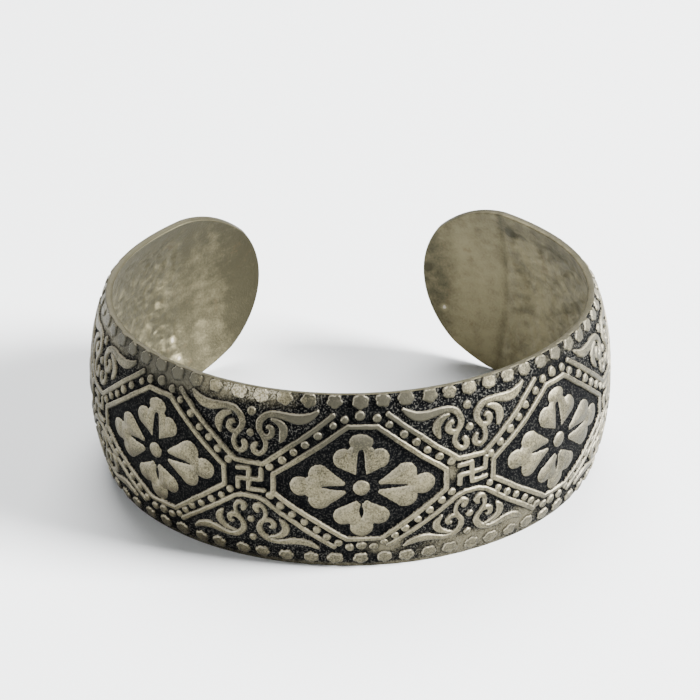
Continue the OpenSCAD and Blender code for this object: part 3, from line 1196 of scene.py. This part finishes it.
def make_piece(
    name: str, sheets: list[Sheet], finishes: list[bpy.types.Material]
) -> bpy.types.Object:
    """Put sheets into one mesh that rides on the cuff's body.

    Args:
        name: the piece's name.
        sheets: the grids that make it.
        finishes: its materials; a sheet's finish holds an index per column.

    Returns:
        The object.
    """
    points = np.concatenate([s.points.reshape(-1, 3) for s in sheets])
    normals = np.concatenate([s.normals.reshape(-1, 3) for s in sheets])
    faces, kinds, start = [], [], 0
    for sheet in sheets:
        quads, column = sheet.quads()
        faces.append(quads + start)
        kinds.append(sheet.finish[column])
        start += sheet.points.shape[0] * sheet.points.shape[1]
    mesh = bpy.data.meshes.new(name)
    mesh.from_pydata(points.tolist(), [], np.concatenate(faces).tolist())
    for key in sheets[0].carried:
        values = np.concatenate([s.carried[key].reshape(-1) for s in sheets])
        layer = mesh.attributes.new(key, "FLOAT", "POINT")
        layer.data.foreach_set("value", values.astype(np.float32))
    for finish in finishes:
        mesh.materials.append(finish)
    mesh.polygons.foreach_set("material_index", np.concatenate(kinds).astype(np.int32))
    mesh.polygons.foreach_set("use_smooth", np.ones(len(mesh.polygons), bool))
    mesh.normals_split_custom_set_from_vertices(normals.tolist())
    mesh.update()
    piece = placed(name, mesh)
    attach(piece, "root")
    LOG.info("%s: %d points, %d quads", name, len(points), len(mesh.polygons))
    return piece


def normals_of(points: Array, wraps: bool) -> Array:
    """Unit normals of a grid: the cross product of its two tangents."""
    along = np.gradient(points, axis=0)
    if wraps:
        across = np.roll(points, -1, axis=1) - np.roll(points, 1, axis=1)
    else:
        across = np.gradient(points, axis=1)
    normal = np.cross(along, across)
    length = np.linalg.norm(normal, axis=-1, keepdims=True)
    return normal / np.maximum(length, 1e-15)


@dataclass(frozen=True)
class Cuff:
    """The whole cuff: the engraved strip in five pieces and two plain ends.

    The strip is a grid that wraps round the section: the outer face, the
    upper edge, the inner face and the lower edge. Numbers are mm or shares,
    but steps, rows and every are counts of cells. A pair holds where a
    smooth step starts and ends.
    """

    band: Band = Band()
    ornament: Ornament = Ornament()
    wear_and_glints: WearAndGlints = WearAndGlints()
    tarnish_and_light: TarnishAndLight = TarnishAndLight()
    # Grids
    cell: float = 0.1
    outer_steps: int = 224
    inner_every: int = 4
    end_every: int = 2
    end_rows: int = 40
    rim_steps: int = 10
    end_s: float = 71.2
    seams: tuple[float, ...] = (-42.0, -13.6, 13.6, 42.0)
    # The edge: how far it stands out, its squareness, and the depths to
    # which it follows the relief and is worn
    rim_in: float = 0.16
    rim_square: float = 0.62
    rim_follow: float = 0.6
    rim_worn: Point = (-0.9, -0.3)
    # The outer face: unevenness, the ground's sinking, and what takes the
    # relief down
    uneven: tuple[Wave, ...] = ((0.015, 2.2, 21), (0.025, 9.0, 22))
    sunk: float = 0.03
    sunk_reach: float = 0.4
    lower: float = 0.02
    spare: float = 0.07
    end_fade: float = 0.8
    worn_height: float = 0.5
    side_s: Point = (38.0, 44.0)
    side_rim: float = 0.07
    # The dents of the inner face
    dent_soft: int = 4
    dent_rim: Point = (0.06, 0.24)
    left_s: Point = (68.6, 69.4)
    left_smooth: float = 0.75
    # What the outer face carries
    plain_s: Point = (70.2, 70.9)
    frame_specks: float = 0.25
    gap_specks: float = 0.75
    plain_specks: float = 0.3
    plain_dull: float = 0.3
    # Up and left shares of the painted light's direction on the relief's flanks
    painted_light_dir: Point = (0.8, 0.6)
    steepest: float = 1.5

    def rim(self) -> tuple[Array, Array]:
        """The edge's profile without its ends: how far it stands out and how
        deep it lies, on a rounded oblong."""
        angle = np.linspace(0.0, math.pi, self.rim_steps + 1)[1:-1]
        out = self.rim_in * np.abs(np.sin(angle)) ** self.rim_square
        side = np.sign(np.cos(angle)) * np.abs(np.cos(angle)) ** self.rim_square
        return out, self.band.wall * (side - 1.0) / 2.0

    def rim_wear(self, deep: Array) -> Array:
        """How worn the edge is at a depth: 1 at its outer side, 0 at the inner."""
        return eased(deep / self.band.wall, *self.rim_worn)

    def edge_lean(self, s: Array) -> tuple[Array, Array]:
        """Outward direction of the upper edge in s and v, unit length."""
        slope = np.gradient(self.band.edge(s), s)
        size = np.sqrt(1.0 + slope**2)
        return -slope / size, 1.0 / size

    def patina(self, s: Array, v: Array) -> Array:
        """The patina of the ornament, and past its last bar the ends' own."""
        plain = eased(np.abs(s), *self.plain_s)
        return self.wear_and_glints.patina(s, v) * (1.0 - plain) + self.wear_and_glints.plain_patina(s, v) * plain

    def height(self, grid: Relief, s: Array, b: Array, patina: Array) -> Array:
        """Height of the outer face over the bare arc.

        The relief, the unevenness and a ground that sinks a little away from
        the drawings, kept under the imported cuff's own relief, lower where it
        is worn, level at the strip's ends and, on the sides, at the edges.

        Args:
            grid: the carved ornament.
            s: distance of each row, as a column.
            b: place across the strip, from -1 to 1.
            patina: 1 where the face isn't worn, down to 0.

        Returns:
            The height of each row and column.
        """
        sunk = self.sunk * (1.0 - eased(grid.depth, -self.sunk_reach, 0.0))
        height = np.where(grid.depth > 0.0, grid.height, 0.0) - sunk
        height = height + layered(s, grid.v, *self.uneven) - self.lower
        height = np.minimum(height, self.band.relief - self.spare)
        height *= eased(self.end_s - np.abs(s), 0.0, self.end_fade)
        height *= self.worn_height + (1.0 - self.worn_height) * patina
        side = eased(np.abs(s), *self.side_s)
        return height * (1.0 - side * (1.0 - eased(1.0 - np.abs(b), 0.0, self.side_rim)))

    def dents(self, grid: Relief, s: Array, inner_b: Array) -> Array:
        """Height of the inner face's dents: the relief, softened, less at the
        edges and on the left end."""
        dents = softened(grid.height, self.dent_soft)[:, :: self.inner_every][:, ::-1]
        dents = dents * eased(1.0 - np.abs(inner_b), *self.dent_rim)
        return dents * (1.0 - self.left_smooth * eased(-s, *self.left_s))

    def slope(self, grid: Relief, height: Array) -> Array:
        """Fall of the relief up and to the left: painted highlights on the flanks
        that face there and painted shade on the opposite ones, as under a
        light from the upper left."""
        up = -np.gradient(height, axis=1) / np.gradient(grid.v, axis=1)
        left = np.gradient(height, grid.s, axis=0)
        fall = self.painted_light_dir[0] * up + self.painted_light_dir[1] * left
        return np.clip(fall, -self.steepest, self.steepest)

    def specks(self, s: Array, v: Array) -> Array:
        """How many bright specks the ground has: few inside the frames."""
        fewer = self.gap_specks - self.frame_specks
        return self.gap_specks - fewer * self.ornament.in_frames(s, v)

    def strip(self) -> tuple[Array, Sheet]:
        """The engraved strip.

        Returns:
            The rows' distances s, and the grid.
        """
        s = np.linspace(-self.end_s, self.end_s, 2 * round(self.end_s / self.cell) + 1)
        b = np.linspace(-1.0, 1.0, self.outer_steps + 1)
        at = s[:, None]
        edge = self.band.edge(at) - self.rim_in
        v = edge * b
        grid = Relief(s, v)
        self.ornament.carve(grid)
        patina = self.patina(at, v)
        height = self.height(grid, at, b, patina)
        inner_b = b[:: self.inner_every][::-1]
        out, deep = self.rim()
        over = eased(deep / self.band.wall, -self.rim_follow, 0.0)
        lean_s, lean_v = (lean[:, None] for lean in self.edge_lean(s))
        top_s, top_v = at + lean_s * out, edge + lean_v * out
        widths = [len(b), len(out), len(inner_b), len(out)]

        def ring(*stretches: Array | float) -> Array:
            """Outer face, upper edge, inner face and lower edge side by side,
            each one broadcast to its width, the last one turned round."""
            wide = [np.broadcast_to(x, (len(s), n)) for x, n in zip(stretches, widths)]
            return np.concatenate([*wide[:3], wide[3][:, ::-1]], axis=1)

        all_s = ring(at, top_s, at, top_s)
        all_v = ring(v, top_v, edge * inner_b, -top_v)
        inner = self.dents(grid, at, inner_b) - self.band.wall
        all_w = ring(height, deep + height[:, -1:] * over, inner, deep + height[:, :1] * over)
        points = self.band.place(all_s, all_v, all_w)
        worn = self.rim_wear(deep)
        carried = {
            "depth": ring(grid.bright, -1.0, -1.0, -1.0),
            "patina": ring(patina, 0.0, 0.0, 0.0),
            "specks": ring(self.specks(at, v), 0.0, 0.0, 0.0),
            "dull_and_glint": ring(self.wear_and_glints.dull_and_glint(at, v), 0.0, 0.0, 0.0),
            # The relief's slope, which carries its painted highlights and painted shade
            "slope": ring(self.slope(grid, height), 0.0, 0.0, 0.0),
            "rim": ring(0.0, worn, 0.0, worn),
            "tone": self.tarnish_and_light.tone(all_s, all_v),
            "rough": self.tarnish_and_light.rough(all_s, all_v),
        }
        finish = np.ones(all_s.shape[1], int)
        finish[: self.outer_steps] = 0
        return s, Sheet(points, normals_of(points, True), carried, finish, True)

    def end_line(self, angle: Array) -> tuple[Array, Array, Array, Array]:
        """The line where an end's faces stop, rim_in inside its outline, with
        the outline's outward direction there. Both of its ends meet the
        strip's last row, and lean as the strip's edge does.

        Args:
            angle: angles of the outline's rays.

        Returns:
            s and v of the line and of the direction.
        """
        last, nudge = np.array(self.end_s), 1e-3
        lean_s, lean_v = (x[1] for x in self.edge_lean(last + np.array([-nudge, 0.0, nudge])))
        edge = float(self.band.edge(last)) - self.rim_in
        line_s, line_v = self.band.end_outline(float(self.band.flat_along(last)), angle)
        ds, dv = np.gradient(line_s), np.gradient(line_v)
        size = np.hypot(ds, dv)
        out_s, out_v = dv / size, -ds / size
        out_s[[0, -1]] = lean_s
        out_v[[0, -1]] = [-lean_v, lean_v]
        in_s, in_v = line_s - self.rim_in * out_s, line_v - self.rim_in * out_v
        in_s[[0, -1]] = self.end_s
        in_v[[0, -1]] = [-edge, edge]
        return in_s, in_v, out_s, out_v

    def end(self, side: int) -> list[Sheet]:
        """One plain rounded end: its outer face, edge and inner face.

        The faces run from the strip's last row to the end's line in straight
        lines, and the edge follows that line with the strip's profile. The
        left end is the right one mirrored, with its columns turned round.

        Args:
            side: -1 for the left end, 1 for the right.

        Returns:
            The three grids.
        """
        b = np.linspace(-1.0, 1.0, self.outer_steps + 1)[:: self.end_every]
        in_s, in_v, out_s, out_v = self.end_line(b * math.pi / 2.0)
        t = np.linspace(0.0, 1.0, self.end_rows + 1)[:, None]
        face_s = self.end_s * (1.0 - t) + in_s * t
        face_v = in_v[-1] * b * (1.0 - t) + in_v * t
        out, deep = self.rim()
        out = np.pad(out, 1)[:, None]
        deep = np.array([0.0, *deep, -self.band.wall])[:, None]
        flat = np.zeros_like(face_s)
        sheets = []
        for us, uv, uw, finish, worn in (
            (face_s, face_v, flat, 0, 0.0),
            (in_s + out * out_s, in_v + out * out_v, deep + 0.0 * b, 1, self.rim_wear(deep)),
            (face_s[::-1], face_v[::-1], flat - self.band.wall, 1, 0.0),
        ):
            us, uv = side * us[:, ::side], uv[:, ::side]
            points = self.band.place(us, uv, uw)
            zero = np.zeros_like(us)
            carried = {
                "depth": zero - 1.0,
                "patina": self.wear_and_glints.plain_patina(us, uv),
                "specks": zero + self.plain_specks,
                "dull_and_glint": zero + self.plain_dull,
                "slope": zero,
                "rim": zero + worn,
                "tone": self.tarnish_and_light.tone(us, uv),
                "rough": self.tarnish_and_light.rough(us, uv),
            }
            kinds = np.full(us.shape[1], finish)
            sheets.append(Sheet(points, normals_of(points, False), carried, kinds, False))
        return sheets

    def build(self, finishes: list[bpy.types.Material]) -> list[bpy.types.Object]:
        """Make the seven pieces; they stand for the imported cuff.

        Args:
            finishes: the outer face's material and the inner one's.

        Returns:
            The pieces, the strip's from left to right and then the ends.
        """
        s, strip = self.strip()
        cuts = [0, *np.searchsorted(s, self.seams), len(s) - 1]
        names = ["far_left", "left", "front", "right", "far_right"]
        made = []
        for name, first, last in zip(names, cuts, cuts[1:]):
            sheet = strip.part(slice(first, last + 1))
            made.append(make_piece(f"cuff_{name}", [sheet], finishes))
        for name, side in (("left", -1), ("right", 1)):
            made.append(make_piece(f"cuff_end_{name}", self.end(side), finishes))
        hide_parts("cuff")
        return made


# Studio


def swung(one: Array, other: Array, degrees: float) -> tuple[Array, Array]:
    """Two square directions turned in their own plane, one towards other."""
    cos, sin = math.cos(math.radians(degrees)), math.sin(math.radians(degrees))
    return one * cos + other * sin, other * cos - one * sin


@dataclass(frozen=True)
class PhotoCamera:
    """The photograph's camera, in mm and degrees in the cuff's frame."""

    azimuth: float = -2.3326
    elevation: float = 28.5539
    distance: float = 429.5498
    yaw: float = -0.0098
    pitch: float = 0.3599
    roll: float = -0.3503
    aim: Row = (0.0, 0.195, 11.2)
    lens: float = 185.14
    sensor: float = 36.0
    clip_m: Point = (0.01, 20.0)

    def build(self) -> None:
        """Look from azimuth and elevation at the aim, then turn by yaw, pitch
        and roll."""
        az, el = math.radians(self.azimuth), math.radians(self.elevation)
        back = np.array([math.sin(az) * math.cos(el), -math.cos(az) * math.cos(el), math.sin(el)])
        where = (back * self.distance + np.array(self.aim)) * MM
        right = np.cross(-back, [0.0, 0.0, 1.0])
        right /= np.linalg.norm(right)
        up = np.cross(right, -back)
        ahead, right = swung(-back, right, self.yaw)
        ahead, up = swung(ahead, up, self.pitch)
        right, up = swung(right, up, self.roll)
        data = bpy.data.cameras.new("photo_camera")
        data.lens, data.sensor_width = self.lens, self.sensor
        data.clip_start, data.clip_end = self.clip_m
        camera = placed("photo_camera", data)
        turned = np.eye(4)
        turned[:3] = np.stack([right, up, -ahead, where], axis=1)
        camera.matrix_world = Matrix(turned.tolist())
        bpy.context.scene.camera = camera


@dataclass(frozen=True)
class Lamp:
    """A square soft light that faces the cuff; metres and watts."""

    name: str
    place: Row
    size: float
    power: float

    def build(self) -> None:
        """Add the light, turned so that it faces the origin."""
        data = bpy.data.lights.new(self.name, "AREA")
        data.size, data.energy = self.size, self.power
        lamp = placed(self.name, data)
        lamp.location = self.place
        away = lamp.location.normalized()
        lamp.rotation_euler = away.to_track_quat("Z", "Y").to_euler()


@dataclass(frozen=True)
class Studio:
    """A pale floor that fills the picture, an even sky and soft lights."""

    floor_size: float = 8.0
    floor: Colour = (0.828, 0.843, 0.848, 1.0)
    floor_grain: Row = (0.6, 2.0, 1.0)
    floor_pit: float = 0.005
    sky: Colour = (0.93, 0.97, 1.0, 1.0)
    sky_power: float = 0.2
    lamps: tuple[Lamp, ...] = (
        Lamp("right", (1.0, -0.24, 0.64), 0.5, 106.0),
        Lamp("back", (0.0, 0.62, 0.95), 0.8, 28.0),
        Lamp("left", (-1.0, -0.35, 0.26), 0.6, 8.0),
    )

    def build(self) -> None:
        """Add the floor, the sky and the lights."""
        half = self.floor_size / 2.0
        mesh = bpy.data.meshes.new("floor")
        corners = [(-half, -half, 0.0), (half, -half, 0.0), (half, half, 0.0), (-half, half, 0.0)]
        mesh.from_pydata(corners, [], [(0, 1, 2, 3)])
        floor = placed("floor", mesh)
        tree = Tree("pale_floor")
        mesh.materials.append(
            tree.finish(
                {"Base Color": self.floor, "Roughness": 0.9, "Specular IOR Level": 0.1},
                tree.grain(*self.floor_grain),
                self.floor_pit,
            )
        )
        world = bpy.data.worlds.new("studio")
        world.use_nodes = True
        sky = world.node_tree.nodes["Background"]
        sky.inputs["Color"].default_value = self.sky
        sky.inputs["Strength"].default_value = self.sky_power
        bpy.context.scene.world = world
        for lamp in self.lamps:
            lamp.build()


def main() -> None:
    """Build the studio and the cuff."""
    logging.basicConfig(level=logging.INFO, format="%(message)s")
    PhotoCamera().build()
    Studio().build()
    pieces = Cuff().build([EngravedFinish().material(), InnerFinish().material()])
    LOG.info("%d pieces", len(pieces))
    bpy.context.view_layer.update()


if __name__ == "__main__":
    main()
